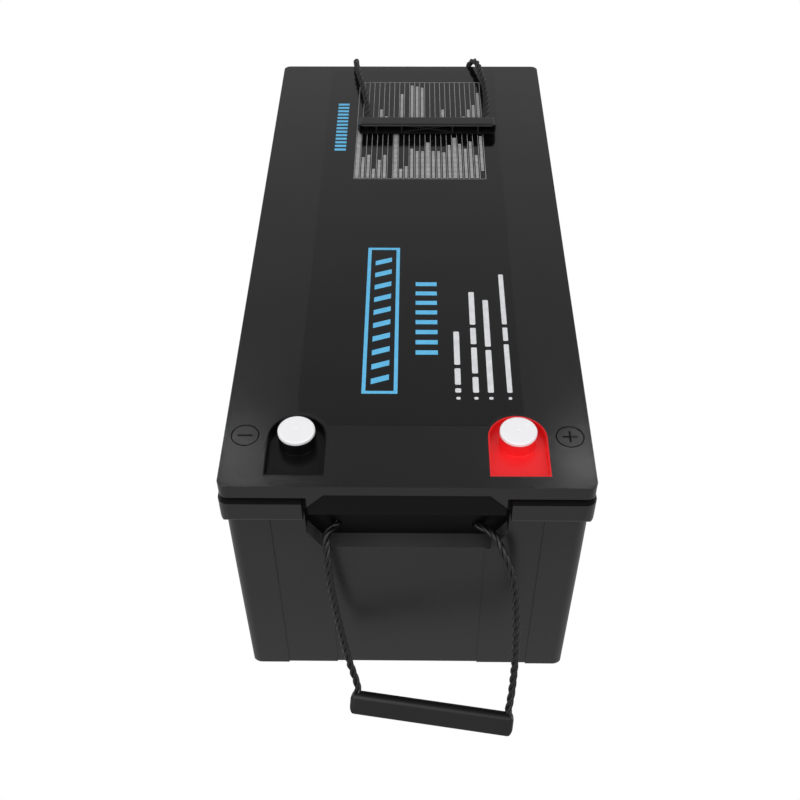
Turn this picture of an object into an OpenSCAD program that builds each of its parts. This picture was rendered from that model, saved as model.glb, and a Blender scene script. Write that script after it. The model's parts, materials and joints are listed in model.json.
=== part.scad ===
// Sealed deep cycle battery with two rope carrying handles, a screw terminal pair and a cell pack inside.
// X runs across the case, Y along it with the terminals at -Y, and Z up. The origin is under its middle.

/* [Case] */
// Length of the case over its rim
case_l = 522; // [515:1:540]
// Width of the case over its rim
case_w = 240; // [236:1:250]
// Height of the lid's top face
lid_top = 218; // [216:1:226]
// Thickness of the side walls and the floor
wall_t = 3.2; // [2.5:0.1:4]

/* [Handles] */
// Diameter of the twisted carrying rope
rope_d = 5; // [4:0.5:6]
// Length of each hand grip
grip_l = 120; // [116:1:122]
// Depth of a grip from its roped web to its open edge
grip_w = 17; // [16:0.5:18]
// Thickness of a grip
grip_t = 10; // [9.6:0.2:10.4]

/* [Terminals] */
// Distance of each terminal from the middle of the case
term_x = 71.5; // [68:0.5:74]
// Radius of the smooth bore that stands for the M8 thread
term_bore_r = 3.4; // [3.3:0.1:4]
// Diameter of the push-in terminal caps
cap_d = 24.2; // [22:0.2:25]

/* [Cells] */
// Width of one cell
cell_w = 174; // [150:1:174]
// Thickness of one cell
cell_t = 54; // [48:1:54]
// Height of one cell's can
cell_h = 195; // [180:1:196]

/* [Hidden] */
$fn = 64;

// Case and rim levels
body_w_top = case_w - 2.2;
body_w_base = case_w - 5.6;
body_l = case_l - 20;
end_t = 5;
rim_top = lid_top - 15;
rim_face_low = rim_top - 14;
rim_low = rim_top - 18.5;
cavity_w = body_w_base - 2 * wall_t;
cavity_l = body_l - 2 * end_t;
floor_t = 4;
corner_r = 8;
rim_r = 7;
rim_edge_r = 4.5;

// Handle recess in each end of the case, as half widths and levels
recess_half = 66.7;
recess_base_half = 55.4;
recess_low = lid_top - 74.4;
recess_knee = lid_top - 57;
recess_high = lid_top - 31;
recess_depth = 11;
recess_y = body_l / 2 - recess_depth;
ledge_slope = 0.32;
panel_half = 53;
rim_gap_half = 66.7;
tab_half = 63.6;
rope_hole_x = 47;
rope_hole_z = lid_top - 60;
rope_hole_r = 3.4;
knot_y = recess_y - 3.5;

// Lid
lid_w = case_w - 2;
lid_l = case_l - 4;
skirt_low = lid_top - 11;
plate_low = lid_top - 3.5;
seal_t = 1.2;

// Terminals
term_y = -(case_l / 2 - 44.5);
pocket_r = 19.3;
pocket_front = -(case_l / 2 - 11.5);
pocket_floor = lid_top - 5;
boss_r = cap_d / 2 + 0.1;
boss_top = lid_top + 3.5;
post_r = 8;
post_top = lid_top + 4;
post_bore_depth = 14;
stud_low = lid_top - 30;

// Swing axes of the two handles
front_axis_y = -256;
front_axis_z = 155;
back_axis_y = 256;
back_axis_z = 161;

// Rope routes, from the swing axis to the grip
front_left_route = [
    [-53.4, -255.8, 154.3], [-53.2, -258.6, 149.2], [-52.8, -261.8, 142], [-52.6, -263.7, 133],
    [-52, -264.9, 122], [-51, -265.9, 111], [-50, -266.8, 100], [-48.8, -267.9, 88],
    [-47.3, -269.2, 76], [-45.7, -270.7, 64], [-43.9, -272.4, 52], [-41.8, -274.8, 41],
    [-39.6, -277.2, 32.5], [-37.8, -279.6, 26], [-36.1, -282.5, 19.6], [-36.38, -286.01, 14.11]
];
front_right_route = [
    [61.3, -255.8, 155.8], [63.8, -259.6, 152.2], [66.4, -262.6, 146.8], [69, -265.1, 140.4],
    [71.6, -267.8, 132.5], [73.2, -270.2, 122.5], [74.4, -272.7, 111], [75.3, -275.3, 99],
    [75.9, -278, 86.5], [76.3, -280.8, 74], [76.4, -284, 61], [76.2, -287.2, 49],
    [75.8, -290.6, 38], [75.1, -294.5, 28.8], [73.8, -299, 19.8], [73.18, -302.57, 14.11]
];
back_left_route = [
    [-48.1, 256.1, 161.3], [-48.6, 259.6, 166], [-49, 261.8, 173], [-49.5, 262.6, 183],
    [-50, 262.8, 194], [-50.6, 263, 205], [-51, 262.8, 213.5], [-51.2, 260.8, 220.6],
    [-51, 255.8, 224.8], [-50.4, 248.6, 226.4], [-49, 238, 226.9], [-46.8, 226, 226.8],
    [-44.2, 214, 226.4], [-42, 202, 225.8], [-39.9, 190, 225], [-38.4, 178, 224.2],
    [-37.7, 167, 223.6], [-37.2, 160, 223.4], [-37.2, 152.35, 223.82]
];
back_right_route = [
    [50, 256.1, 161.3], [50.9, 259.6, 166], [51.5, 261.8, 173], [52, 262.6, 183],
    [52.5, 262.8, 194], [53.1, 263, 205], [54.2, 262.8, 213.5], [56.4, 261, 220.6],
    [59.4, 256, 225.2], [61.9, 248.6, 227], [63.9, 238, 227.3], [65.4, 226, 227.1],
    [66.8, 214, 226.6], [67.6, 202, 225.9], [67.9, 190, 225.1], [67.6, 178, 224.2],
    [67, 167, 223.6], [66.8, 160, 223.4], [66.8, 152.35, 223.82]
];
// The still ends of the ropes, from the inside of the case to the swing axis
anchor_left_route = [
    [-47, knot_y, 158], [-47, knot_y + 4, 158], [-49.6, knot_y + 7.2, 158.6],
    [-52, knot_y + 11, 158.9], [-53.2, knot_y + 14.4, 158], [-53.3, knot_y + 16.6, 156.5]
];
anchor_right_route = [
    [47, knot_y, 158], [47, knot_y + 4, 158], [50.5, knot_y + 7.1, 159],
    [55, knot_y + 11, 159.8], [58.2, knot_y + 14.7, 159.1], [59.9, knot_y + 17, 157.5]
];
back_anchor_left_route = [
    [-47, knot_y, 158], [-47, knot_y + 4, 158], [-47, knot_y + 9, 158],
    [-47.3, knot_y + 14.5, 158.7], [-47.7, knot_y + 16.6, 159.8]
];
back_anchor_right_route = [
    [47, knot_y, 158], [47, knot_y + 4, 158], [47.4, knot_y + 9, 158],
    [48.4, knot_y + 14.5, 158.7], [49.2, knot_y + 16.6, 159.8]
];

// Grips
front_grip_at = [17.9, -297.6, 8.95];
front_grip_turn = [-33, 0, -8.6];
back_grip_at = [14.8, 146.2, lid_top + 6.2];
back_grip_turn = [-93.5, 0, 0];
front_hole_x = grip_l / 2 - 4.6;
back_hole_x = grip_l / 2 - 8;
web_t = 2.5;
grip_knot_r = 3.3;
grip_knot_h = 6.5;

// Cell pack
cell_gap = 1;
pack_front = -21.5;
pack_l = 4 * cell_t + 3 * cell_gap;
cell_low = floor_t + 2;
cell_top = cell_low + cell_h;
cell_post_x = 60;
busbar_t = 2.5;
busbar_low = cell_top + 3;
end_plate_t = 6;
band_t = 1.2;

// Battery management board
bms_y = -115;
bms_w = 140;
bms_l = 110;
bms_top = 100;

black_plastic = [0.16, 0.16, 0.17];
rope_black = [0.07, 0.07, 0.07];
signal_red = [0.85, 0.1, 0.11];
copper = [0.72, 0.45, 0.3];

function cell_y(i) = pack_front + cell_t / 2 + (i - 1) * (cell_t + cell_gap);
function unit(v) = v / norm(v);
function route_tangent(p, i) = unit(p[min(i + 1, len(p) - 1)] - p[max(i - 1, 0)]);

// A round tube along a route, as one ring of points at each route point. The route never runs along "side".
module route_tube(p, r, sides, side) {
    rings = [
        for (i = [0:len(p) - 1])
            let (t = route_tangent(p, i), u = unit(cross(t, side)), v = cross(t, u))
                for (k = [0:sides - 1])
                    p[i] + r * (cos(360 * k / sides) * u + sin(360 * k / sides) * v)
    ];
    last = (len(p) - 1) * sides;
    skin = [
        for (i = [0:len(p) - 2])
            for (k = [0:sides - 1])
                let (a = i * sides + k, b = i * sides + (k + 1) % sides)
                    for (f = [[a, b, a + sides], [b, b + sides, a + sides]])
                        f
    ];
    start_cap = [for (k = [0:sides - 1]) sides - 1 - k];
    end_cap = [for (k = [0:sides - 1]) last + k];
    polyhedron(points = rings, faces = concat([start_cap], skin, [end_cap]), convexity = 6);
}

// A rectangle with true round corners, centred on the origin
module rounded_rect(w, l, r) {
    square([w - 2 * r, l], center = true);
    square([w, l - 2 * r], center = true);
    for (x = [-1, 1])
        for (y = [-1, 1])
            translate([x * (w / 2 - r), y * (l / 2 - r)]) circle(r);
}

module slab(w, l, low, high, r) {
    translate([0, 0, low]) linear_extrude(high - low) rounded_rect(w, l, r);
}

module block(x, y, z) {
    translate([x[0], y[0], z[0]]) cube([x[1] - x[0], y[1] - y[0], z[1] - z[0]]);
}

// A prism along Y from an outline in X and Z
module prism_y(outline, y0, y1) {
    translate([0, y1, 0]) rotate([90, 0, 0]) linear_extrude(y1 - y0) polygon(outline);
}

// A prism along X from an outline in Y and Z
module prism_x(outline, x0, x1) {
    translate([x0, 0, 0]) rotate([90, 0, 90]) linear_extrude(x1 - x0) polygon(outline);
}

module both_ends() {
    children();
    mirror([0, 1, 0]) children();
}

// ---- Casing ----

module case_body() {
    intersection() {
        slab(body_w_top, body_l, 0, rim_top, corner_r);
        prism_y([
            [-body_w_base / 2, 0], [body_w_base / 2, 0],
            [body_w_top / 2, rim_low], [body_w_top / 2, rim_top],
            [-body_w_top / 2, rim_top], [-body_w_top / 2, rim_low]
        ], -body_l / 2 - 1, body_l / 2 + 1);
    }
}

module case_rim() {
    intersection() {
        slab(case_w, case_l, rim_low, rim_top, rim_r);
        translate([0, case_l / 2 + 1, rim_low + 40]) rotate([90, 0, 0]) linear_extrude(case_l + 2)
            rounded_rect(case_w, 80, rim_edge_r);
        translate([-case_w / 2 - 1, 0, rim_low + 40]) rotate([90, 0, 90]) linear_extrude(case_w + 2)
            rounded_rect(case_l, 80, rim_edge_r);
    }
}

// Height of the recess's sloping ledge
function ledge_z(y) = recess_low + ledge_slope * (body_l / 2 - abs(y));

// The recess behind each handle, cut from the front end; "grow" makes the wall that lines it inside
module recess_outline(y0, y1, grow) {
    half = recess_half + grow;
    top = recess_high + grow;
    intersection() {
        prism_y([
            [-recess_base_half - grow / 2, recess_low - grow - 1],
            [recess_base_half + grow / 2, recess_low - grow - 1],
            [half, recess_knee - grow / 2], [half, top], [-half, top], [-half, recess_knee - grow / 2]
        ], y0, y1);
        prism_x([
            [y0, ledge_z(y0) - grow], [y1, ledge_z(y1) - grow], [y1, top + 1], [y0, top + 1]
        ], -half - 1, half + 1);
    }
}

module case_end_cuts() {
    panel_low = -1;
    panel_high = rim_low - 4;
    recess_outline(-body_l / 2 - 1, -recess_y, 0);
    block([-rim_gap_half, rim_gap_half], [-case_l / 2 - 1, -body_l / 2], [rim_low - 1, rim_top + 1]);
    block([-90, 90], [-body_l / 2 - 1, -body_l / 2 + 0.9], [panel_low, panel_high]);
    block([-panel_half, panel_half], [-body_l / 2 - 1, -body_l / 2 + 1.7], [panel_low, recess_low + 1]);
    for (x = [-rope_hole_x, rope_hole_x])
        translate([x, -recess_y - 1, rope_hole_z]) rotate([-90, 0, 0]) cylinder(r = rope_hole_r, h = 6);
    // Hollows under the flange, between its ribs
    for (s = [-1, 1])
        for (x = [71, 91])
            translate([s * x - (s < 0 ? 16 : 0), -case_l / 2 + 3, rim_low - 1])
                cube([16, 7, rim_top - rim_low - 2]);
}

module case() {
    color(black_plastic) difference() {
        union() {
            case_body();
            case_rim();
        }
        difference() {
            slab(cavity_w, cavity_l, floor_t, rim_top + 1, 5);
            both_ends() recess_outline(-cavity_l / 2 - 1, -knot_y, 3.5);
        }
        both_ends() case_end_cuts();
        for (s = [-1, 1])
            for (y = [-180, -60, 60])
                translate([s * body_w_top / 2 - 0.6, y, 12]) cube([1.2, 120 - 12, rim_low - 24]);
    }
}

// The outline of a terminal pocket: round at the back and straight at the front
module pocket_outline(r, front) {
    translate([0, term_y]) circle(r);
    translate([-r, front]) square([2 * r, term_y - front]);
}

module pocket_pair(r, front) {
    for (s = [-1, 1])
        translate([s * term_x, 0]) pocket_outline(r, front);
}

module lid() {
    tab_y = lid_l / 2;
    color(black_plastic) difference() {
        union() {
            difference() {
                slab(lid_w, lid_l, skirt_low, lid_top, 5.5);
                slab(lid_w - 6, lid_l - 6, skirt_low - 1, plate_low, 3.5);
            }
            // Ring that stands on the seal, a step behind the skirt
            difference() {
                slab(lid_w - 5, body_l + 1, rim_top + seal_t, plate_low + 1, 5);
                slab(cavity_w - 3, cavity_l - 3, rim_top, plate_low, 3);
            }
            // Tongue that drops inside the case wall
            difference() {
                slab(cavity_w - 0.8, cavity_l - 0.8, rim_top - 6, plate_low + 1, 4.6);
                slab(cavity_w - 5.8, cavity_l - 5.8, rim_top - 7, plate_low, 2.5);
            }
            both_ends() block([-tab_half, tab_half], [-tab_y, -tab_y + 6.5], [recess_high, plate_low + 1]);
        }
        both_ends() prism_y([
            [-tab_half - 1, recess_high - 1], [tab_half + 1, recess_high - 1],
            [tab_half + 1, lid_top - 21], [panel_half - 0.5, lid_top - 8],
            [-panel_half + 0.5, lid_top - 8], [-tab_half - 1, lid_top - 21]
        ], -tab_y - 1, -tab_y + 3);
        translate([0, 0, plate_low - 1]) linear_extrude(6) pocket_pair(pocket_r, pocket_front);
        translate([0, 0, rim_top - 8]) linear_extrude(plate_low - rim_top + 8)
            pocket_pair(pocket_r + 4, pocket_front - 2.8);
        // Round polarity marks, pressed into the lid beside the pockets
        for (s = [-1, 1])
            translate([s * 105.3, -215.6, lid_top - 0.5]) difference() {
                cylinder(r = 9.3, h = 1);
                translate([0, 0, -1]) cylinder(r = 8.5, h = 3);
            }
        for (s = [-1, 1])
            translate([s * 105.3 - 4.8, -216.2, lid_top - 0.5]) cube([9.6, 1.2, 1]);
        translate([105.3 - 0.6, -220.4, lid_top - 0.5]) cube([1.2, 9.6, 1]);
    }
}

module lid_seal() {
    color("dimgray") difference() {
        slab(lid_w - 6, body_l - 1, rim_top, rim_top + seal_t, 5);
        slab(cavity_w + 1, cavity_l + 2, rim_top - 1, rim_top + seal_t + 1, 5);
    }
}

module label_sheet() {
    color([0.13, 0.13, 0.14]) translate([0, 0, lid_top]) linear_extrude(0.25) difference() {
        translate([-73.5, -206]) square([150.5, 456.5]);
        pocket_pair(pocket_r + 3, pocket_front);
    }
}

// ---- Terminals ----

module terminal_insert(s) {
    difference() {
        union() {
            translate([0, 0, pocket_floor - 4]) linear_extrude(lid_top - pocket_floor + 4)
                translate([s * term_x, 0]) pocket_outline(pocket_r, pocket_front);
            translate([0, 0, plate_low - 3]) linear_extrude(3)
                translate([s * term_x, 0]) pocket_outline(pocket_r + 3, pocket_front - 2);
        }
        difference() {
            translate([0, 0, pocket_floor]) linear_extrude(10)
                translate([s * term_x, 0]) pocket_outline(pocket_r - 0.9, pocket_front + 0.9);
            translate([s * term_x, term_y, pocket_floor - 1]) cylinder(r = boss_r, h = 12);
        }
        translate([s * term_x, term_y, pocket_floor - 6]) cylinder(r = post_r + 0.05, h = 30);
        translate([s * term_x, term_y, boss_top - 5]) cylinder(r = post_r + 2, h = 10);
    }
    // Boss around the post, with the groove that takes the cap's skirt
    translate([s * term_x, term_y, 0]) difference() {
        translate([0, 0, pocket_floor - 1]) cylinder(r = boss_r, h = boss_top - pocket_floor + 1);
        translate([0, 0, pocket_floor - 2]) cylinder(r = post_r + 0.05, h = 20);
        translate([0, 0, boss_top - 5]) cylinder(r = post_r + 2, h = 10);
    }
}

module negative_insert() { color(black_plastic) terminal_insert(-1); }
module positive_insert() { color(signal_red) terminal_insert(1); }

module terminal_post(s) {
    color([0.8, 0.68, 0.36]) translate([s * term_x, term_y, 0]) difference() {
        union() {
            translate([0, 0, pocket_floor - 7]) cylinder(r = 11, h = 3);
            translate([0, 0, pocket_floor - 5]) cylinder(r = post_r, h = post_top - pocket_floor + 5);
            translate([0, 0, stud_low]) cylinder(r = 4, h = pocket_floor - 6 - stud_low);
        }
        translate([0, 0, post_top - post_bore_depth]) cylinder(r = term_bore_r, h = post_bore_depth + 1);
        translate([0, 0, post_top - 1]) cylinder(r1 = term_bore_r, r2 = term_bore_r + 1.2, h = 1.2);
    }
}

module negative_post() { terminal_post(-1); }
module positive_post() { terminal_post(1); }

module terminal_nuts() {
    color("silver") for (s = [-1, 1])
        translate([s * term_x, term_y, pocket_floor - 16]) difference() {
            cylinder(r = 7.5, h = 6.5, $fn = 6);
            translate([0, 0, -1]) cylinder(r = 4.05, h = 10);
        }
}

module terminal_cap(s) {
    color("white") translate([s * term_x, term_y, 0]) difference() {
        union() {
            translate([0, 0, post_top + 0.3]) rotate_extrude() {
                square([cap_d / 2 - 1, 2.6]);
                square([cap_d / 2, 1.6]);
                translate([cap_d / 2 - 1, 1.6]) circle(1);
            }
            translate([0, 0, boss_top - 4]) difference() {
                cylinder(r = post_r + 1.6, h = post_top - boss_top + 4.6);
                translate([0, 0, -1]) cylinder(r = post_r + 0.4, h = post_top - boss_top + 5.3);
            }
        }
        translate([0, 0, post_top + 2.6]) cylinder(r = 1.1, h = 1);
    }
}

module negative_cap() { terminal_cap(-1); }
module positive_cap() { terminal_cap(1); }

// ---- Handles ----

// A grip in its own frame: long along X, with the roped web at +Z and the open channel at -Z
module grip(hole_x) {
    inner_t = grip_t - 3.2;
    difference() {
        intersection() {
            rotate([90, 0, 0]) translate([0, 0, -grip_t]) linear_extrude(2 * grip_t)
                rounded_rect(grip_l, grip_w, 6);
            rotate([90, 0, 90]) translate([0, 0, -grip_l]) linear_extrude(2 * grip_l) intersection() {
                rounded_rect(grip_t, grip_w, 2.6);
                translate([0, -grip_w / 2]) rounded_rect(grip_t, 2 * grip_w, 4.4);
            }
            translate([0, 0, -grip_w]) linear_extrude(2 * grip_w)
                rounded_rect(grip_l, grip_t, 4);
        }
        difference() {
            block([-grip_l / 2 + 1.8, grip_l / 2 - 1.8], [-inner_t / 2, inner_t / 2],
                [-grip_w, grip_w / 2 - web_t]);
            // Ribs that stiffen the channel
            for (x = [-44, -22, 22, 44])
                block([x - 0.8, x + 0.8], [-grip_t, grip_t], [-grip_w / 2 + 1.5, grip_w]);
            for (a = [-9, 9])
                rotate([0, 0, a]) block([-21.2, 21.2], [-0.6, 0.6], [-grip_w / 2 + 2.5, grip_w]);
        }
        for (x = [-hole_x, hole_x])
            translate([x, 0, 0]) cylinder(r = rope_d / 2 + 0.25, h = grip_w);
    }
}

module grip_knots(hole_x) {
    for (s = [-1, 1])
        translate([s * (hole_x - 1.2), 0, grip_w / 2 - web_t - grip_knot_h])
            cylinder(r = grip_knot_r, h = grip_knot_h);
}

module case_knots() {
    for (x = [-rope_hole_x, rope_hole_x])
        translate([x, -knot_y, rope_hole_z]) rotate([-90, 0, 0]) cylinder(r = 5, h = 8);
}

module rope(p) { color(rope_black) route_tube(p, rope_d / 2, 10, [1, 0, 0]); }

module front_grip() {
    color(black_plastic) translate(front_grip_at) rotate(front_grip_turn) grip(front_hole_x);
}
module front_grip_knots() {
    color(rope_black) translate(front_grip_at) rotate(front_grip_turn) grip_knots(front_hole_x);
}
module front_rope_left() { rope(front_left_route); }
module front_rope_right() { rope(front_right_route); }
module front_rope_anchors() {
    mirror([0, 1, 0]) rope(anchor_left_route);
    mirror([0, 1, 0]) rope(anchor_right_route);
}
module front_case_knots() { color(rope_black) case_knots(); }
module back_grip() {
    color(black_plastic) translate(back_grip_at) rotate(back_grip_turn) grip(back_hole_x);
}
module back_grip_knots() {
    color(rope_black) translate(back_grip_at) rotate(back_grip_turn) grip_knots(back_hole_x);
}
module back_rope_left() { rope(back_left_route); }
module back_rope_right() { rope(back_right_route); }
module back_rope_anchors() {
    rope(back_anchor_left_route);
    rope(back_anchor_right_route);
}
module back_case_knots() { color(rope_black) mirror([0, 1, 0]) case_knots(); }

// ---- Cell pack ----

module cell(i) {
    color([0.16, 0.33, 0.62]) translate([0, cell_y(i), 0]) {
        slab(cell_w, cell_t, cell_low, cell_top, 3);
        for (x = [-cell_post_x, cell_post_x]) {
            translate([x, 0, cell_top - 1]) cylinder(r = 8, h = busbar_low - cell_top + 1);
            translate([x, 0, cell_top]) cylinder(r = 3, h = 10.5);
        }
        translate([0, 0, cell_top - 1]) cylinder(r = 7, h = 1.8);
    }
}

module cell_1() { cell(1); }
module cell_2() { cell(2); }
module cell_3() { cell(3); }
module cell_4() { cell(4); }

module cell_spacers() {
    color("whitesmoke") for (i = [1:3])
        translate([-cell_w / 2, cell_y(i) + cell_t / 2, cell_low]) cube([cell_w, cell_gap, cell_h]);
}

module end_plates() {
    color("gainsboro") for (y = [pack_front - end_plate_t, pack_front + pack_l])
        translate([-cell_w / 2, y, cell_low]) cube([cell_w, end_plate_t, cell_h - 8]);
}

module compression_bands() {
    w = cell_w + 0.4;
    l = pack_l + 2 * end_plate_t;
    color("silver") for (z = [cell_low + 50, cell_low + 125])
        translate([0, pack_front + pack_l / 2, z]) difference() {
            slab(w + 2 * band_t, l + 2 * band_t, 0, 16, 1.4);
            slab(w, l, -1, 17, 0.2);
        }
}

module base_pad() {
    color("dimgray") translate([0, pack_front + pack_l / 2, 0])
        slab(cell_w + 4, pack_l + 16, floor_t, cell_low, 2);
}

module filler_foam() {
    color([0.25, 0.25, 0.26]) {
        block([-cavity_w / 2 + 1, -cell_w / 2 - 3], [-10, 190], [floor_t, 150]);
        block([-60, 60], [pack_front + pack_l + 9, knot_y - 10], [floor_t, 130]);
    }
}

// Bars join the cells in series, on alternate sides
module series_busbars() {
    color(copper) for (i = [1:3]) {
        x = i % 2 == 1 ? -cell_post_x : cell_post_x;
        difference() {
            translate([x, (cell_y(i) + cell_y(i + 1)) / 2, 0])
                slab(20, cell_t + cell_gap + 20, busbar_low, busbar_low + busbar_t, 4);
            for (j = [i, i + 1])
                translate([x, cell_y(j), busbar_low - 1]) cylinder(r = 3.1, h = 6);
        }
    }
}

module busbar_nuts() {
    color("silver") for (i = [1:4])
        for (x = [-cell_post_x, cell_post_x])
            translate([x, cell_y(i), busbar_low + busbar_t]) difference() {
                cylinder(r = 5.8, h = 4.2, $fn = 6);
                translate([0, 0, -1]) cylinder(r = 3.05, h = 8);
            }
}

// ---- Battery management board, cables and sensing ----

module bms_tray() {
    color("darkslategray") translate([0, bms_y, 0]) {
        difference() {
            slab(bms_w + 10, bms_l + 10, floor_t, bms_top, 4);
            slab(bms_w + 4, bms_l + 4, floor_t - 1, bms_top - 3, 2);
            block([-50, 50], [-bms_l, bms_l], [floor_t + 20, bms_top - 20]);
            block([-bms_w, bms_w], [-35, 35], [floor_t + 20, bms_top - 20]);
        }
    }
}

module bms_heatsink() {
    color("silver") translate([0, bms_y, 0]) difference() {
        slab(bms_w, bms_l, bms_top, bms_top + 10, 2);
        for (i = [-6:6])
            block([i * 10 - 3.5, i * 10 + 3.5], [-bms_l, bms_l], [bms_top + 3 - 4, bms_top + 6]);
        for (x = [-64, 64])
            for (y = [-49, 49])
                translate([x, y, bms_top - 1]) cylinder(r = 1.6, h = 20);
    }
}

module bms_board() {
    color([0.1, 0.35, 0.2]) translate([0, bms_y, 0]) difference() {
        slab(bms_w, bms_l, bms_top + 10, bms_top + 11.6, 1);
        for (x = [-64, 64])
            for (y = [-49, 49])
                translate([x, y, bms_top]) cylinder(r = 1.6, h = 20);
    }
}

module bms_mosfets() {
    color([0.1, 0.1, 0.1]) for (row = [-1, 1])
        for (i = [0:9])
            translate([i * 11.5 - 57, bms_y + row * 18 - 5, bms_top + 11.6]) cube([8, 10, 4.4]);
}

module bms_screws() {
    color("silver") for (x = [-64, 64])
        for (y = [-49, 49])
            translate([x, bms_y + y, 0]) {
                translate([0, 0, bms_top + 11.6]) cylinder(r = 3, h = 2);
                translate([0, 0, bms_top + 1]) cylinder(r = 1.5, h = 11);
            }
}

// A ring terminal with its crimped barrel "rise" above its underside, lying along "turn" degrees from +Y
module ring_lug(at, hole_r, turn, rise) {
    translate(at) rotate([0, 0, turn]) difference() {
        union() {
            cylinder(r = hole_r + 4.4, h = 2.5);
            translate([-4.5, 0, 0]) cube([9, 16, 2.5]);
            translate([0, 13, rise]) rotate([-90, 0, 0]) cylinder(r = 5, h = 14);
        }
        translate([0, 0, -1]) cylinder(r = hole_r, h = 12);
        translate([0, 15, rise]) rotate([-90, 0, 0]) cylinder(r = 4, h = 20);
    }
}

lug_z = pocket_floor - 9.5;
term_cable_z = lug_z - 2.5;
cell_cable_z = busbar_low + 5;
bms_cable_z = bms_top + 11.6 + 5;
module cable_lugs() {
    color(copper) {
        ring_lug([term_x, term_y, lug_z], 4.05, 0, -2.5);
        ring_lug([-term_x, term_y, lug_z], 4.05, 0, -2.5);
        ring_lug([cell_post_x, cell_y(1), busbar_low], 3.1, 180, 5);
        ring_lug([cell_post_x, cell_y(4), busbar_low], 3.1, -90, 5);
        ring_lug([50, bms_y, bms_top + 11.6], 3.1, -90, 5);
        ring_lug([-50, bms_y - 32, bms_top + 11.6], 3.1, 180, 5);
    }
}

module cable(p, r) { route_tube(p, r, 10, [1, 0, 0]); }

module positive_cable() {
    color("firebrick") cable([
        [60, cell_y(1) - 15.2, cell_cable_z], [60, cell_y(1) - 28, cell_cable_z],
        [61, -45, 207.5], [64, -70, 204.5], [68, -100, 202], [70.5, -130, 201],
        [71.5, -160, term_cable_z], [71.5, -185, term_cable_z], [71.5, term_y + 15.2, term_cable_z]
    ], 3.8);
}

module negative_cable() {
    color([0.12, 0.12, 0.12]) cable([
        [-50, bms_y - 47.2, bms_cable_z], [-50, bms_y - 60.5, bms_cable_z], [-50.5, -183, 118.5],
        [-53, -192, 126], [-57, -197, 138], [-62, -196, 151], [-67, -189, 164],
        [-70, -178, 176], [-71.4, -167, 186], [-71.5, -162, 194], [-71.5, -167, 199.6],
        [-71.5, -176, term_cable_z], [-71.5, -188, term_cable_z], [-71.5, term_y + 15.2, term_cable_z]
    ], 3.8);
}

module pack_cable() {
    color([0.12, 0.12, 0.12]) route_tube([
        [75.2, cell_y(4), cell_cable_z], [88, cell_y(4), cell_cable_z], [96, cell_y(4) - 3, 205],
        [101, cell_y(4) - 12, 196], [103, 145, 184], [103, 120, 168], [103, 90, 152],
        [103, 50, 137], [103, 10, 126], [103, -30, 119.5], [103, -70, 117], [102, -95, bms_cable_z],
        [97, -110, bms_cable_z], [87, bms_y, bms_cable_z], [78, bms_y, bms_cable_z],
        [65.2, bms_y, bms_cable_z]
    ], 3.8, 10, [0, 0, 1]);
}

module balance_harness() {
    color("gold") cable([
        [0, bms_y + 50, bms_top + 14.2], [0, -50, 116], [0, -40, 122], [0, -34, 135], [0, -32, 160],
        [0, -32, 185], [0, -31, 198], [2, -25, 206], [10, -14, 209], [14, 5, 209], [14, 60, 209],
        [14, 115, 209], [14, 165, 209]
    ], 2);
}

module temperature_probe() {
    color([0.1, 0.1, 0.1]) route_tube([
        [-20, 64, cell_top + 2], [-20, 56, cell_top + 2], [-19, 40, 206], [-17, 20, 207], [-15, 0, 208],
        [-14, -20, 207], [-13, -31, 200], [-12, -33, 180], [-11, -34, 150], [-10, -38, 125],
        [-9, -50, bms_top + 14]
    ], 1.5, 8, [1, 0, 0]);
}

case();
lid();
lid_seal();
label_sheet();
negative_insert();
positive_insert();
negative_post();
positive_post();
terminal_nuts();
negative_cap();
positive_cap();
front_grip();
front_grip_knots();
front_rope_left();
front_rope_right();
front_rope_anchors();
front_case_knots();
back_grip();
back_grip_knots();
back_rope_left();
back_rope_right();
back_rope_anchors();
back_case_knots();
cell_1();
cell_2();
cell_3();
cell_4();
cell_spacers();
end_plates();
compression_bands();
base_pad();
filler_foam();
series_busbars();
busbar_nuts();
bms_tray();
bms_heatsink();
bms_board();
bms_mosfets();
bms_screws();
positive_cable();
negative_cable();
pack_cable();
cable_lugs();
balance_harness();
temperature_probe();
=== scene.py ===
"""Looks of the deep cycle battery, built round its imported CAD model."""

import json
import math

import bmesh
import bpy
from mathutils import Euler, Matrix, Vector


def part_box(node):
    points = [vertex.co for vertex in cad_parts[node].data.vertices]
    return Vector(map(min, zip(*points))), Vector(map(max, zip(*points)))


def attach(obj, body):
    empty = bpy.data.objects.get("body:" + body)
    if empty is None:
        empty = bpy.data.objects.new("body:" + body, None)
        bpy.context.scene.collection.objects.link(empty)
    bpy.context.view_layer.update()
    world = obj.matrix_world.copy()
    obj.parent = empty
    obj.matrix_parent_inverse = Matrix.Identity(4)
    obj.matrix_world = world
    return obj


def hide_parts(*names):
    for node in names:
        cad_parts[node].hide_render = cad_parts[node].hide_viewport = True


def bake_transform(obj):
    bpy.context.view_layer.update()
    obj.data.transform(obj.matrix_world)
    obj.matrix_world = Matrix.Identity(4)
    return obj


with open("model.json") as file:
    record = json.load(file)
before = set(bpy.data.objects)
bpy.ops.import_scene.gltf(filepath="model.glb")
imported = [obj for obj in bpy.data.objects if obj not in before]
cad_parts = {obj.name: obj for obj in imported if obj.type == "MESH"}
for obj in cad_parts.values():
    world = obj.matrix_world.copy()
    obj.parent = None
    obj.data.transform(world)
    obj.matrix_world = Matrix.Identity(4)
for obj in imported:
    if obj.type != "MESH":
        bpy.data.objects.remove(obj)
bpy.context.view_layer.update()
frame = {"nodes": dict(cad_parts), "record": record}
NODES = frame["nodes"]
MM = 0.001

LABEL_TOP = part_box("label_sheet")[1][2]


# ---- Materials ----


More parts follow.
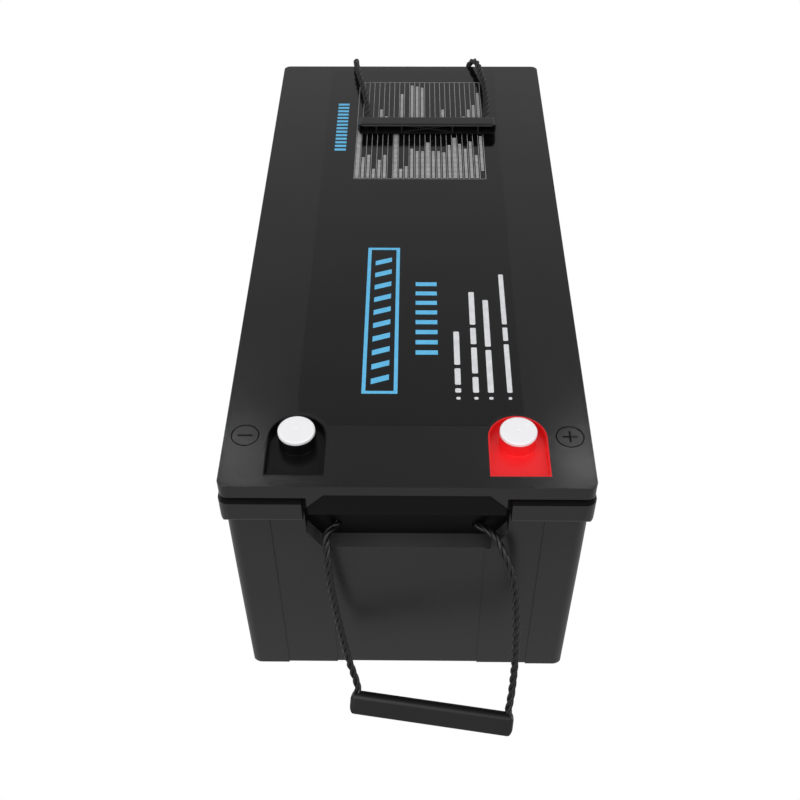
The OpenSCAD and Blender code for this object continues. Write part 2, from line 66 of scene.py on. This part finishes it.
class Shader:
    """A node material, built one node at a time."""

    def __init__(self, name):
        self.mat = bpy.data.materials.new(name)
        self.mat.use_nodes = True
        self.nodes = self.mat.node_tree.nodes
        self.links = self.mat.node_tree.links
        self.bsdf = self.nodes["Principled BSDF"]

    def node(self, kind, **values):
        made = self.nodes.new(kind)
        for key, value in values.items():
            if key in made.inputs:
                made.inputs[key].default_value = value
            else:
                setattr(made, key, value)
        return made

    def link(self, out, into):
        self.links.new(out, into)

    def set(self, **values):
        for key, value in values.items():
            self.bsdf.inputs[key.replace("_", " ")].default_value = value
        return self

    def noise(self, scale, detail=3.0, stretch=None):
        coords = self.node("ShaderNodeTexCoord")
        noise = self.node("ShaderNodeTexNoise", Scale=scale, Detail=detail)
        source = coords.outputs["Object"]
        if stretch:
            mapping = self.node("ShaderNodeMapping", Scale=stretch)
            self.link(source, mapping.inputs["Vector"])
            source = mapping.outputs["Vector"]
        self.link(source, noise.inputs["Vector"])
        return noise.outputs["Fac"]

    def spread(self, value, low, high, start=0.3, stop=0.7):
        """value, a texture's factor, mapped to a number between low and high."""
        limits = {"From Min": start, "From Max": stop, "To Min": low, "To Max": high}
        ranged = self.node("ShaderNodeMapRange", **limits)
        self.link(value, ranged.inputs["Value"])
        return ranged.outputs["Result"]

    def tint(self, value, dark, light, start=0.3, stop=0.7):
        """The base colour runs from dark to light as value, a texture's factor, rises."""
        ramp = self.node("ShaderNodeValToRGB")
        ramp.color_ramp.elements[0].position = start
        ramp.color_ramp.elements[1].position = stop
        ramp.color_ramp.elements[0].color = (*dark, 1.0)
        ramp.color_ramp.elements[1].color = (*light, 1.0)
        self.link(value, ramp.inputs["Fac"])
        self.link(ramp.outputs["Color"], self.bsdf.inputs["Base Color"])

    def bump(self, value, strength, distance):
        bump = self.node("ShaderNodeBump", Strength=strength, Distance=distance)
        self.link(value, bump.inputs["Height"])
        self.link(bump.outputs["Normal"], self.bsdf.inputs["Normal"])


def plastic(name, dark, light, rough, grain=0.12, ior=1.5):
    """Moulded plastic: a faint cloud in its colour and shine, and a fine grain."""
    made = Shader(name).set(IOR=ior)
    cloud = made.noise(14.0, 4.0)
    made.tint(cloud, dark, light)
    made.link(made.spread(cloud, rough[0], rough[1]), made.bsdf.inputs["Roughness"])
    made.bump(made.noise(2600.0, 2.0), grain, 0.00006)
    return made.mat


def metal(name, dark, light, rough, stretch=None):
    """Bare metal with fine streaks in its colour and shine."""
    made = Shader(name).set(Metallic=1.0)
    streak = made.noise(420.0, 4.0, stretch)
    made.tint(streak, dark, light)
    made.link(made.spread(streak, rough[0], rough[1]), made.bsdf.inputs["Roughness"])
    made.bump(streak, 0.1, 0.00004)
    return made.mat


def ink(name, dark, light):
    """Printed ink, slightly uneven and a little glossy."""
    made = Shader(name).set(IOR=1.45)
    cloud = made.noise(160.0, 3.0)
    made.tint(cloud, dark, light)
    made.link(made.spread(cloud, 0.38, 0.5), made.bsdf.inputs["Roughness"])
    made.bump(made.noise(3000.0, 2.0), 0.08, 0.00003)
    return made.mat


def cord_fibre(name):
    """Twisted synthetic fibre: fine threads and a soft sheen."""
    made = Shader(name).set(IOR=1.5)
    threads = made.noise(1300.0, 3.0)
    made.tint(threads, (0.001, 0.001, 0.0011), (0.007, 0.007, 0.0073))
    made.link(made.spread(threads, 0.22, 0.5), made.bsdf.inputs["Roughness"])
    made.bump(threads, 0.45, 0.0002)
    return made.mat


def foam(name, dark, light):
    """Closed-cell foam: small pits, darker than their edges."""
    made = Shader(name)
    cells = made.node("ShaderNodeTexVoronoi", Scale=700.0)
    coords = made.node("ShaderNodeTexCoord")
    made.link(coords.outputs["Object"], cells.inputs["Vector"])
    made.tint(cells.outputs["Distance"], dark, light, 0.1, 0.8)
    made.set(Roughness=0.85)
    made.bump(cells.outputs["Distance"], 0.5, 0.0004)
    return made.mat


LOOKS = {
    "case_plastic": plastic("case_black", (0.0075, 0.0074, 0.0079), (0.0098, 0.0096, 0.0102), (0.24, 0.34)),
    "lid_plastic": plastic("lid_black", (0.0072, 0.0071, 0.0075), (0.009, 0.0089, 0.0093), (0.15, 0.2)),
    # Painted shade: a darker, duller copy of the black plastic for the recess back walls and the marks' sunk faces.
    "recess_painted_shade": plastic(
        "recess_black_painted_shade", (0.0028, 0.0026, 0.003), (0.0038, 0.0036, 0.004), (0.4, 0.5), 0.12, 1.2
    ),
    # Painted light: a lighter copy of the black plastic for the recess ledge.
    "ledge_painted_light": plastic("ledge_painted_light_grey", (0.017, 0.0165, 0.0175), (0.023, 0.0225, 0.0235), (0.34, 0.5), 0.2),
    # Painted highlight: a paler copy again, for the recess corner facets.
    "corner_painted_highlight": plastic("corner_painted_highlight_grey", (0.05, 0.049, 0.051), (0.065, 0.064, 0.066), (0.34, 0.5), 0.2),
    "black_insert": plastic(
        "insert_black", (0.003, 0.003, 0.0033), (0.0042, 0.0042, 0.0046), (0.2, 0.28), 0.06, 1.28
    ),
    "red_insert": plastic("insert_red", (0.85, 0.012, 0.016), (0.9, 0.016, 0.02), (0.28, 0.36), 0.06),
    "cap_plastic": plastic("cap_white", (0.93, 0.925, 0.94), (0.95, 0.945, 0.96), (0.4, 0.5), 0.1),
    "grip_plastic": plastic(
        "grip_black", (0.0068, 0.0067, 0.0071), (0.0098, 0.0097, 0.0102), (0.3, 0.42), 0.2, 1.42
    ),
    "label_film": plastic("label_black", (0.0026, 0.0026, 0.003), (0.0036, 0.0036, 0.004), (0.1, 0.15), 0.04),
    "rope": cord_fibre("rope_black"),
    "print_blue": ink("print_blue", (0.11, 0.5, 0.82), (0.14, 0.55, 0.88)),
    "print_white": ink("print_white", (0.68, 0.69, 0.71), (0.8, 0.81, 0.83)),
    "print_row": ink("print_row", (0.4, 0.4, 0.405), (0.55, 0.55, 0.555)),
    "print_grey": ink("print_grey", (0.3, 0.3, 0.31), (0.4, 0.4, 0.41)),
    "seal_rubber": plastic("seal_rubber", (0.004, 0.004, 0.004), (0.007, 0.007, 0.007), (0.6, 0.75), 0.3),
    "terminal_brass": metal("terminal_brass", (0.66, 0.5, 0.2), (0.78, 0.62, 0.3), (0.2, 0.34)),
    "plated_steel": metal("plated_steel", (0.5, 0.5, 0.52), (0.66, 0.66, 0.68), (0.24, 0.4)),
    "end_plate_metal": metal("plain_aluminium", (0.6, 0.6, 0.62), (0.72, 0.72, 0.74), (0.3, 0.45), (1.0, 1.0, 30.0)),
    "copper": metal("plain_copper", (0.74, 0.33, 0.18), (0.86, 0.44, 0.27), (0.24, 0.4)),
    "cell_wrap": plastic("cell_film_blue", (0.02, 0.09, 0.36), (0.03, 0.12, 0.42), (0.24, 0.34), 0.2),
    "spacer_sheet": plastic("spacer_white", (0.6, 0.6, 0.58), (0.7, 0.7, 0.68), (0.6, 0.75), 0.3),
    "tray_plastic": plastic("tray_dark", (0.02, 0.03, 0.03), (0.03, 0.04, 0.04), (0.45, 0.6), 0.3),
    "board": plastic("board_green", (0.01, 0.09, 0.03), (0.014, 0.13, 0.045), (0.3, 0.4), 0.2),
    "chip_plastic": plastic("chip_black", (0.012, 0.012, 0.012), (0.02, 0.02, 0.02), (0.45, 0.6), 0.3),
    "red_cable": plastic("cable_red", (0.42, 0.01, 0.01), (0.52, 0.016, 0.016), (0.4, 0.5), 0.2),
    "black_cable": plastic("cable_black", (0.01, 0.01, 0.01), (0.016, 0.016, 0.016), (0.4, 0.5), 0.2),
    "harness_wire": plastic("harness_yellow", (0.5, 0.3, 0.02), (0.62, 0.4, 0.03), (0.4, 0.5), 0.2),
    "foam": foam("foam_dark", (0.02, 0.02, 0.021), (0.05, 0.05, 0.052)),
}


# ---- Mesh helpers ----


def add(name, mesh, look, slot, body, *replaced):
    """A finished piece: linked, coloured, riding on its body and standing for its CAD nodes."""
    piece = bpy.data.objects.new(name, mesh)
    bpy.context.scene.collection.objects.link(piece)
    mesh.materials.clear()
    mesh.materials.append(LOOKS[look])
    if body:
        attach(piece, body)
    if replaced:
        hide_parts(*replaced)
    return piece


def join_flats(form):
    """Join the triangles of each flat face that has no hole in it. A flat with a hole keeps its triangles."""
    seen = set()
    for start in list(form.faces):
        if start in seen:
            continue
        seen.add(start)
        flat, todo = {start}, [start]
        while todo:
            for edge in todo.pop().edges:
                for face in edge.link_faces:
                    if face not in seen and face.normal.dot(start.normal) > 0.99995:
                        seen.add(face)
                        flat.add(face)
                        todo.append(face)
        inside = {edge for face in flat for edge in face.edges if all(f in flat for f in edge.link_faces)}
        # Only a flat with no hole has one more triangle than it has inner edges
        if len(flat) > 1 and len(flat) == len(inside) + 1:
            bmesh.ops.dissolve_faces(form, faces=sorted(flat, key=lambda face: face.index))


SHARP_EDGE = math.radians(28.0)


def refined(node, name, look, slot, body, width, segments=3):
    """A copy of a CAD node's solid with clean flat faces, its sharp edges rounded and its flats kept flat."""
    mesh = NODES[node].data.copy()
    mesh.name = name
    form = bmesh.new()
    form.from_mesh(mesh)
    bmesh.ops.remove_doubles(form, verts=form.verts, dist=2e-6)
    join_flats(form)
    for face in form.faces:
        face.smooth = True
    form.to_mesh(mesh)
    form.free()
    piece = add(name, mesh, look, slot, None)
    rounding = piece.modifiers.new("rounding", "BEVEL")
    rounding.width = width
    rounding.segments = segments
    rounding.limit_method = "ANGLE"
    rounding.angle_limit = SHARP_EDGE
    rounding.use_clamp_overlap = True
    rounding.miter_outer = "MITER_ARC"
    rounding.harden_normals = True
    flats = piece.modifiers.new("flats", "WEIGHTED_NORMAL")
    flats.mode = "FACE_AREA"
    flats.weight = 60
    bpy.context.view_layer.update()
    graph = bpy.context.evaluated_depsgraph_get()
    shaped = bpy.data.meshes.new_from_object(
        piece.evaluated_get(graph), preserve_all_data_layers=True, depsgraph=graph
    )
    piece.modifiers.clear()
    piece.data = shaped
    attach(piece, body)
    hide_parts(node)
    return piece


# Where the handle recesses lie, at either end of the case, and the sunk faces of the two polarity marks, in metres
RECESS_HALF_X = 0.0685
RECESS_Y = (0.2385, 0.2595)
RECESS_Z = (0.142, 0.2108)
LEDGE_BELOW = 0.165
MARK_X, MARK_Y, MARK_R = 0.1053, -0.2156, 0.0098
MARK_Z = (0.2174, 0.2179)


def in_recess(v):
    return (
        abs(v.x) < RECESS_HALF_X and RECESS_Z[0] < v.z < RECESS_Z[1] and RECESS_Y[0] < abs(v.y) < RECESS_Y[1]
    )


def in_mark(v):
    return MARK_Z[0] < v.z < MARK_Z[1] and math.hypot(abs(v.x) - MARK_X, v.y - MARK_Y) < MARK_R


def shade_recess(piece):
    """Painted light and shade in the recesses and marks: their back faces and the marks' sunk faces are darker as
    painted shade, the ledge is lighter as painted light, and the corner facets beside it paler still as a painted
    highlight.
    """
    mesh = piece.data
    for look in ("recess_painted_shade", "ledge_painted_light", "corner_painted_highlight"):
        mesh.materials.append(LOOKS[look])
    for face in mesh.polygons:
        corners = [mesh.vertices[i].co for i in face.vertices]
        inside = all(in_recess(v) for v in corners)
        # Painted shade on the recess back walls and the marks' sunk faces
        if all(in_mark(v) for v in corners) or (inside and abs(face.normal.y) > 0.7):
            face.material_index = 1
        # Painted light on the ledge, and a painted highlight on the corner facets
        elif inside and face.center.z < LEDGE_BELOW and face.normal.z > 0.3:
            face.material_index = 2 if face.normal.z > 0.8 else 3


def closed_mesh(form, name):
    """The mesh of a closed form, with its faces turned outwards."""
    bmesh.ops.recalc_face_normals(form, faces=form.faces)
    mesh = bpy.data.meshes.new(name)
    form.to_mesh(mesh)
    form.free()
    return mesh


def smooth(mesh, degrees):
    for face in mesh.polygons:
        face.use_smooth = True
    mesh.set_sharp_from_angle(angle=math.radians(degrees))


def skin(form, rings):
    """Join rings of vertices into one closed tube."""
    for low, high in zip(rings, rings[1:]):
        for k in range(len(low)):
            j = (k + 1) % len(low)
            form.faces.new((low[k], low[j], high[j], high[k]))
    form.faces.new(rings[0][::-1])
    form.faces.new(rings[-1])


def tangent(line, i):
    return (line[min(i + 1, len(line) - 1)] - line[max(i - 1, 0)]).normalized()


def outward(point, middle, along):
    """The direction from middle to point, square to along."""
    out = point - middle
    return (out - out.dot(along) * along).normalized()


def flat_pieces(name, outlines, z, thickness, look, slot):
    """One thin raised piece on the housing made of flat outlines, each a list of (x, y) points in millimetres."""
    form = bmesh.new()
    for outline in outlines:
        top = [form.verts.new((x * MM, y * MM, z + thickness)) for x, y in outline]
        low = [form.verts.new((x * MM, y * MM, z)) for x, y in outline]
        form.faces.new(top)
        form.faces.new(low[::-1])
        for i in range(len(outline)):
            j = (i + 1) % len(outline)
            form.faces.new((low[i], low[j], top[j], top[i]))
    return add(name, closed_mesh(form, name), look, slot, "housing")


def bar(x0, x1, y0, y1, lean=0.0):
    """A flat bar's outline. lean moves its +X end along Y."""
    return [(x0, y0), (x1, y0 + lean), (x1, y1 + lean), (x0, y1)]


def round_bar(x0, x1, y0, y1, r, steps):
    """A flat bar's outline with rounded corners."""
    outline = []
    for cx, cy, start in ((x1 - r, y1 - r, 0), (x0 + r, y1 - r, 90), (x0 + r, y0 + r, 180), (x1 - r, y0 + r, 270)):
        for i in range(steps + 1):
            a = math.radians(start + 90 * i / steps)
            outline.append((cx + r * math.cos(a), cy + r * math.sin(a)))
    return outline


# ---- Ropes ----

# The points that part.scad sweeps its rope tubes through, in millimetres, from the knot in the case to the grip
FRONT_LEFT = [
    (-47, -236.5, 158), (-47, -240.5, 158), (-49.6, -243.7, 158.6), (-52, -247.5, 158.9), (-53.2, -250.9, 158),
    (-53.3, -253.1, 156.5), (-53.4, -255.8, 154.3), (-53.2, -258.6, 149.2), (-52.8, -261.8, 142), (-52.6, -263.7, 133),
    (-52, -264.9, 122), (-51, -265.9, 111), (-50, -266.8, 100), (-48.8, -267.9, 88),
    (-47.3, -269.2, 76), (-45.7, -270.7, 64), (-43.9, -272.4, 52), (-41.8, -274.8, 41),
    (-39.6, -277.2, 32.5), (-37.8, -279.6, 26), (-36.1, -282.5, 19.6), (-36.38, -286.01, 14.11),
]
FRONT_RIGHT = [
    (47, -236.5, 158), (47, -240.5, 158), (50.5, -243.6, 159), (55, -247.5, 159.8), (58.2, -251.2, 159.1),
    (59.9, -253.5, 157.5), (61.3, -255.8, 155.8), (63.8, -259.6, 152.2), (66.4, -262.6, 146.8), (69, -265.1, 140.4),
    (71.6, -267.8, 132.5), (73.2, -270.2, 122.5), (74.4, -272.7, 111), (75.3, -275.3, 99),
    (75.9, -278, 86.5), (76.3, -280.8, 74), (76.4, -284, 61), (76.2, -287.2, 49),
    (75.8, -290.6, 38), (75.1, -294.5, 28.8), (73.8, -299, 19.8), (73.18, -302.57, 14.11),
]
BACK_LEFT = [
    (-47, 236.5, 158), (-47, 240.5, 158), (-47, 245.5, 158), (-47.3, 251, 158.7), (-47.7, 253.1, 159.8),
    (-48.1, 256.1, 161.3), (-48.6, 259.6, 166), (-49, 261.8, 173), (-49.5, 262.6, 183),
    (-50, 262.8, 194), (-50.6, 263, 205), (-51, 262.8, 213.5), (-51.2, 260.8, 220.6),
    (-51, 255.8, 224.8), (-50.4, 248.6, 226.4), (-49, 238, 226.9), (-46.8, 226, 226.8),
    (-44.2, 214, 226.4), (-42, 202, 225.8), (-39.9, 190, 225), (-38.4, 178, 224.2),
    (-37.7, 167, 223.6), (-37.2, 160, 223.4), (-37.2, 152.35, 223.82),
]
BACK_RIGHT = [
    (47, 236.5, 158), (47, 240.5, 158), (47.4, 245.5, 158), (48.4, 251, 158.7), (49.2, 253.1, 159.8),
    (50, 256.1, 161.3), (50.9, 259.6, 166), (51.5, 261.8, 173), (52, 262.6, 183),
    (52.5, 262.8, 194), (53.1, 263, 205), (54.2, 262.8, 213.5), (56.4, 261, 220.6),
    (59.4, 256, 225.2), (61.9, 248.6, 227), (63.9, 238, 227.3), (65.4, 226, 227.1),
    (66.8, 214, 226.6), (67.6, 202, 225.9), (67.9, 190, 225.1), (67.6, 178, 224.2),
    (67, 167, 223.6), (66.8, 160, 223.4), (66.8, 152.35, 223.82),
]


def smooth_path(points, step):
    """Points a step apart on a smooth curve through the route's points, in metres."""
    knots = [Vector(p) * MM for p in points]
    dense = []
    for i in range(len(knots) - 1):
        a = knots[max(i - 1, 0)]
        b, c = knots[i], knots[i + 1]
        d = knots[min(i + 2, len(knots) - 1)]
        for j in range(24):
            t = j / 24
            dense.append(
                0.5 * ((2 * b) + (c - a) * t + (2 * a - 5 * b + 4 * c - d) * t * t + (3 * b - a - 3 * c + d) * t ** 3)
            )
    dense.append(knots[-1])
    run = [0.0]
    for p, q in zip(dense, dense[1:]):
        run.append(run[-1] + (q - p).length)
    count = max(2, round(run[-1] / step))
    even = []
    k = 0
    for i in range(count + 1):
        want = run[-1] * i / count
        while k < len(run) - 2 and run[k + 1] < want:
            k += 1
        part = (want - run[k]) / max(run[k + 1] - run[k], 1e-9)
        even.append(dense[k].lerp(dense[k + 1], min(max(part, 0.0), 1.0)))
    return even, run[-1]


# How the strands are laid round the rope, and the yarns round each strand, in metres
STRANDS = 3
STRAND_TURN = 0.0245
STRAND_R = 0.00143
STRAND_OUT = 0.00138
STRAND_SIDES = 15
YARNS = 5
YARN_TURN = 0.0085
YARN_DEPTH = 0.1
RING_STEP = 0.0009


def twisted_rope(name, points):
    """Three strands laid round one another along the route, in one mesh."""
    line, length = smooth_path(points, RING_STEP)
    tangents = [tangent(line, i) for i in range(len(line))]
    side = tangents[0].cross(Vector((1, 0, 0))).normalized()
    sides = []
    for t in tangents:
        side = (side - side.dot(t) * t).normalized()
        sides.append(side)
    runs = [0.0]
    for p, q in zip(line, line[1:]):
        runs.append(runs[-1] + (q - p).length)
    form = bmesh.new()
    for strand in range(STRANDS):
        centres = []
        for i, p in enumerate(line):
            turn = 2 * math.pi * (runs[i] / STRAND_TURN + strand / STRANDS)
            up = tangents[i].cross(sides[i])
            centres.append(p + STRAND_OUT * (math.cos(turn) * sides[i] + math.sin(turn) * up))
        rings = []
        for i, centre in enumerate(centres):
            along = tangent(centres, i)
            out = outward(centre, line[i], along)
            across = along.cross(out)
            ring = []
            for k in range(STRAND_SIDES):
                a = 2 * math.pi * k / STRAND_SIDES
                yarn = math.cos(YARNS * (a + 2 * math.pi * runs[i] / YARN_TURN / YARNS))
                r = STRAND_R * (1 - YARN_DEPTH * (0.5 - 0.5 * yarn))
                ring.append(form.verts.new(centre + r * (math.cos(a) * out + math.sin(a) * across)))
            rings.append(ring)
        skin(form, rings)
    mesh = closed_mesh(form, name)
    smooth(mesh, 60.0)
    return add(name, mesh, "rope", "rope", None), [tuple(p) for p in line], length


KNOT_TURNS = 2.2
KNOT_STEPS = 60
KNOT_SIDES = 8
KNOT_CORE = 0.0013


def knot(name, centre, axis, radius, height, body):
    """A tied end: a few turns of rope wound round the rope's own line."""
    side = axis.orthogonal().normalized()
    up = axis.cross(side)
    line = []
    for i in range(KNOT_STEPS + 1):
        t = i / KNOT_STEPS
        a = 2 * math.pi * KNOT_TURNS * t
        r = (radius - KNOT_CORE) * math.sin(math.pi * min(max(t * 1.05, 0.06), 0.94)) ** 0.35
        rise = axis * (height - 2 * KNOT_CORE) * (t - 0.5)
        line.append(centre + rise + r * (math.cos(a) * side + math.sin(a) * up))
    form = bmesh.new()
    rings = []
    for i, p in enumerate(line):
        along = tangent(line, i)
        out = outward(p, centre, along)
        across = along.cross(out)
        angles = [2 * math.pi * k / KNOT_SIDES for k in range(KNOT_SIDES)]
        rings.append([form.verts.new(p + KNOT_CORE * (math.cos(a) * out + math.sin(a) * across)) for a in angles])
    skin(form, rings)
    mesh = closed_mesh(form, name)
    smooth(mesh, 60.0)
    return add(name, mesh, "rope", "rope", body)


# Two points by each hole, out and down from the front one and straight up outside the back one, where each rope would
# bend as its handle swings; nothing below bends the ropes with them
BEND_FRONT = ((0, -0.2545, 0.158), (0, -0.2645, 0.148))
BEND_BACK = ((0, 0.256, 0.161), (0, 0.256, 0.175))

for end, side, points, bend in (
    ("front", "left", FRONT_LEFT, BEND_FRONT),
    ("front", "right", FRONT_RIGHT, BEND_FRONT),
    ("back", "left", BACK_LEFT, BEND_BACK),
    ("back", "right", BACK_RIGHT, BEND_BACK),
):
    label = f"{end}_rope_{side}"
    rope, path, length = twisted_rope(label + "_twist", points)
    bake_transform(rope)
    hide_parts(label, end + "_rope_anchors")


# ---- Casing, terminals and grips ----

shade_recess(refined("case", "case_shell", "case_plastic", "case_plastic", "housing", 0.0009))
shade_recess(refined("lid", "lid_shell", "lid_plastic", "case_plastic", "housing", 0.0007))
for node, name, look, body, width, segments in (
    ("negative_insert", "negative_pocket", "black_insert", "housing", 0.0002, 2),
    ("positive_insert", "positive_pocket", "red_insert", "housing", 0.0002, 2),
    ("negative_cap", "negative_cap_moulded", "cap_plastic", "negative_cap_body", 0.0003, 2),
    ("positive_cap", "positive_cap_moulded", "cap_plastic", "positive_cap_body", 0.0003, 2),
    ("front_grip", "front_grip_moulded", "grip_plastic", "front_handle", 0.0005, 3),
    ("back_grip", "back_grip_moulded", "grip_plastic", "back_handle", 0.0005, 3),
    ("label_sheet", "label_face", "label_film", "housing", 0.00008, 1),
):
    refined(node, name, look, look, body, width, segments)

# The knots inside each grip: where the grip sits, how it is turned, and the spread of its rope holes
KNOT_UP = 2.75
KNOT_R = 0.0033
KNOT_HEIGHT = 0.0065
for end, place, tilt, spread in (
    ("front", (17.9, -297.6, 8.95), (-33, 0, -8.6), 54.2),
    ("back", (14.8, 146.2, 224.2), (-93.5, 0, 0), 50.8),
):
    turn = Euler([math.radians(a) for a in tilt]).to_matrix()
    for side, at in (("left", -spread), ("right", spread)):
        centre = (Vector(place) + turn @ Vector((at, 0, KNOT_UP))) * MM
        label = end + "_grip_knots"
        tied = knot(f"{label}_{side}", centre, turn @ Vector((0, 0, 1)), KNOT_R, KNOT_HEIGHT, end + "_handle")
        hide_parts(label)


# ---- Label print ----

# How far the ink stands off the label, in metres. The outlines below are in millimetres.
INK = 0.00004


def printed(name, outlines, look):
    flat_pieces(name, outlines, LABEL_TOP, INK, look, "label_film")


def column(x0, x1, first, pitch, length, count, lean=0.0):
    """A column of equal bars, one every pitch along Y."""
    return [bar(x0, x1, first + i * pitch, first + i * pitch + length, lean) for i in range(count)]


# A charge gauge: an outline round a column of leaning bars
GAUGE_X = (-31.2, -6.9)
GAUGE_Y = (-177.4, -19.0)
EDGE = 2.6
x0, x1 = GAUGE_X
y0, y1 = GAUGE_Y
blue = [bar(x0, x1, y0, y0 + EDGE), bar(x0, x1, y1 - EDGE, y1)]
blue += [bar(x0, x0 + EDGE, y0 + EDGE, y1 - EDGE), bar(x1 - EDGE, x1, y0 + EDGE, y1 - EDGE)]
blue += column(x0 + 6, x1 - 6, y0 + 9, 14.2, 5.2, 10, lean=4.5)
# A shorter column beside the gauge, and small bars beside the table
blue += column(5.2, 20.8, -139, 10.6, 4.4, 8)
blue += column(-64.6, -54.9, 115.6, 5.6, 3.2, 14)
printed("label_print_blue", blue, "print_blue")

# Four rows of plain bars, each with a square at its start
ROW_START = -176.0
ROW_GAP = 3.5
white = []
for x0, x1, lengths in (
    (31.0, 37.0, (4, 16, 34)),
    (43.0, 49.0, (15, 26, 17, 36)),
    (53.0, 59.0, (42, 50)),
    (66.0, 71.5, (48, 14, 56)),
):
    y = ROW_START
    for length in lengths:
        white.append(round_bar(x0 + 1.0, x1 - 1.0, y, y + length, 0.8, 2))
        y += length + ROW_GAP
    white.append(round_bar(x0 + 1.6, x1 - 1.6, ROW_START - 6.5, ROW_START - 4.1, 0.8, 2))
printed("label_print_white", white, "print_white")

# The table: its rules, and how far the rows of small blocks reach in each column's two halves
TABLE_X = (-46.4, 63.4)
TABLE_Y = (73.7, 229.0)
MIDDLE = 152.0
RULE = 0.4
INDENT = 1.6
LAST_INDENT = 12.0
MARGIN = 1.1
BOLD_MARGIN = 0.7
LOWER = (72, 32, 34, 14, 28, 34, 0, 72, 14, 17, 44, 40, 41, 54, 40, 40, 39, 50, 62, 52, 44, 55, 35, 54)
UPPER = {4: 30, 5: 17, 8: 56, 10: 71, 11: 70, 12: 67, 16: 30, 20: 17, 21: 30, 22: 36, 23: 57}
BOLD = (0, 7, 13, 18)
PITCH = (TABLE_X[1] - TABLE_X[0]) / len(LOWER)


def blocks(x, margin, start, length):
    """A row of small blocks that fills one column of the table."""
    made = []
    y = start
    while y + 1.6 <= start + length:
        made.append(bar(x + margin, x + PITCH - margin, y, y + 1.35))
        y += 1.9
    return made


rules = []
for i in range(len(LOWER) + 1):
    x = TABLE_X[0] + PITCH * i
    rules.append(bar(x - RULE / 2, x + RULE / 2, *TABLE_Y))
for y in (TABLE_Y[0], MIDDLE, TABLE_Y[1]):
    rules.append(bar(*TABLE_X, y - RULE / 2, y + RULE / 2))
rows = []
for i, length in enumerate(LOWER):
    x = TABLE_X[0] + PITCH * i
    indent = INDENT if i < len(LOWER) - 1 else LAST_INDENT
    rows += blocks(x, BOLD_MARGIN if i in BOLD else MARGIN, TABLE_Y[0] + indent, length)
    if i in UPPER:
        rows += blocks(x, MARGIN, MIDDLE + INDENT, UPPER[i])
printed("label_table_rules", rules, "print_grey")
printed("label_table_rows", rows, "print_row")


# ---- Materials of the CAD nodes that show as they are ----

for entry in frame["record"]["subparts"]:
    for place in NODES[entry["node"]].material_slots:
        place.material = LOOKS[entry["material_slot"]]


# ---- Studio ----

FLOOR_HALF = 6
floor_mesh = bpy.data.meshes.new("floor")
floor_corners = [(x * FLOOR_HALF, y * FLOOR_HALF, 0) for x, y in ((-1, -1), (1, -1), (1, 1), (-1, 1))]
floor_mesh.from_pydata(floor_corners, [], [(0, 1, 2, 3)])
floor = bpy.data.objects.new("floor", floor_mesh)
bpy.context.scene.collection.objects.link(floor)
# White paper lit from within, so that it stays even and sends no light back on to the battery
paper = Shader("floor_paper").set(Roughness=1.0, IOR=1.0, Base_Color=(0.0, 0.0, 0.0, 1.0))
paper.set(Emission_Color=(1.0, 1.0, 1.0, 1.0), Emission_Strength=1.0)
floor_mesh.materials.append(paper.mat)
floor.location.z = -0.0002
floor.visible_diffuse = False
floor.visible_glossy = False

world = bpy.data.worlds.new("studio")
bpy.context.scene.world = world
world.use_nodes = True
sky = world.node_tree
direction = sky.nodes.new("ShaderNodeTexCoord")
split = sky.nodes.new("ShaderNodeSeparateXYZ")
height = sky.nodes.new("ShaderNodeMapRange")
height.inputs["From Min"].default_value = -1.0
glow = sky.nodes.new("ShaderNodeValToRGB")
glow.color_ramp.elements.remove(glow.color_ramp.elements[1])
glow.color_ramp.elements[0].position = 0.0
for stop, level in ((0.0, 0.46), (0.5, 0.52), (0.72, 0.58), (0.9, 0.3), (1.0, 0.28)):
    point = glow.color_ramp.elements[0] if stop == 0.0 else glow.color_ramp.elements.new(stop)
    point.color = (level, level * 0.992, level, 1.0)
sky.links.new(direction.outputs["Generated"], split.inputs["Vector"])
sky.links.new(split.outputs["Z"], height.inputs["Value"])
sky.links.new(height.outputs["Result"], glow.inputs["Fac"])
sky.links.new(glow.outputs["Color"], sky.nodes["Background"].inputs["Color"])


def lamp(name, kind, place, power):
    light = bpy.data.lights.new(name, kind)
    light.energy = power
    made = bpy.data.objects.new(name, light)
    bpy.context.scene.collection.objects.link(made)
    made.location = place
    return made


# Two large softboxes in front of the battery, aimed at its middle
BOX_SIZE = 2.2
for name, place, power in (
    ("key_left", (-1.3, -1.5, 1.9), 31.0),
    ("fill_right", (1.4, -1.2, 2.0), 26.0),
):
    box = lamp(name, "AREA", place, power)
    box.data.shape = "RECTANGLE"
    box.data.size = box.data.size_y = BOX_SIZE
    box.rotation_euler = (Vector((0, 0, 0.1)) - Vector(place)).to_track_quat("-Z", "Y").to_euler()

# Two small lamps behind the battery that glint softly in the lid's front corners
for name, x in (("glint_left", -0.42), ("glint_right", 0.41)):
    lamp(name, "POINT", (x, 1.06, 1.71), 0.7).data.shadow_soft_size = 0.03

camera_data = bpy.data.cameras.new("camera")
camera = bpy.data.objects.new("camera", camera_data)
bpy.context.scene.collection.objects.link(camera)
camera_data.sensor_width = 36.0
camera_data.angle = math.radians(39.66)
camera_data.clip_end = 30.0
yaw, pitch, roll = -0.0163, 0.7961, -0.0071
camera.matrix_world = (
    Matrix.Translation((0.00335, -0.7015, 0.7478))
    @ Matrix.Rotation(-yaw, 4, "Z")
    @ Matrix.Rotation(math.pi / 2 - pitch, 4, "X")
    @ Matrix.Rotation(roll, 4, "Z")
)
bpy.context.scene.camera = camera
bpy.context.scene.view_settings.view_transform = "Standard"
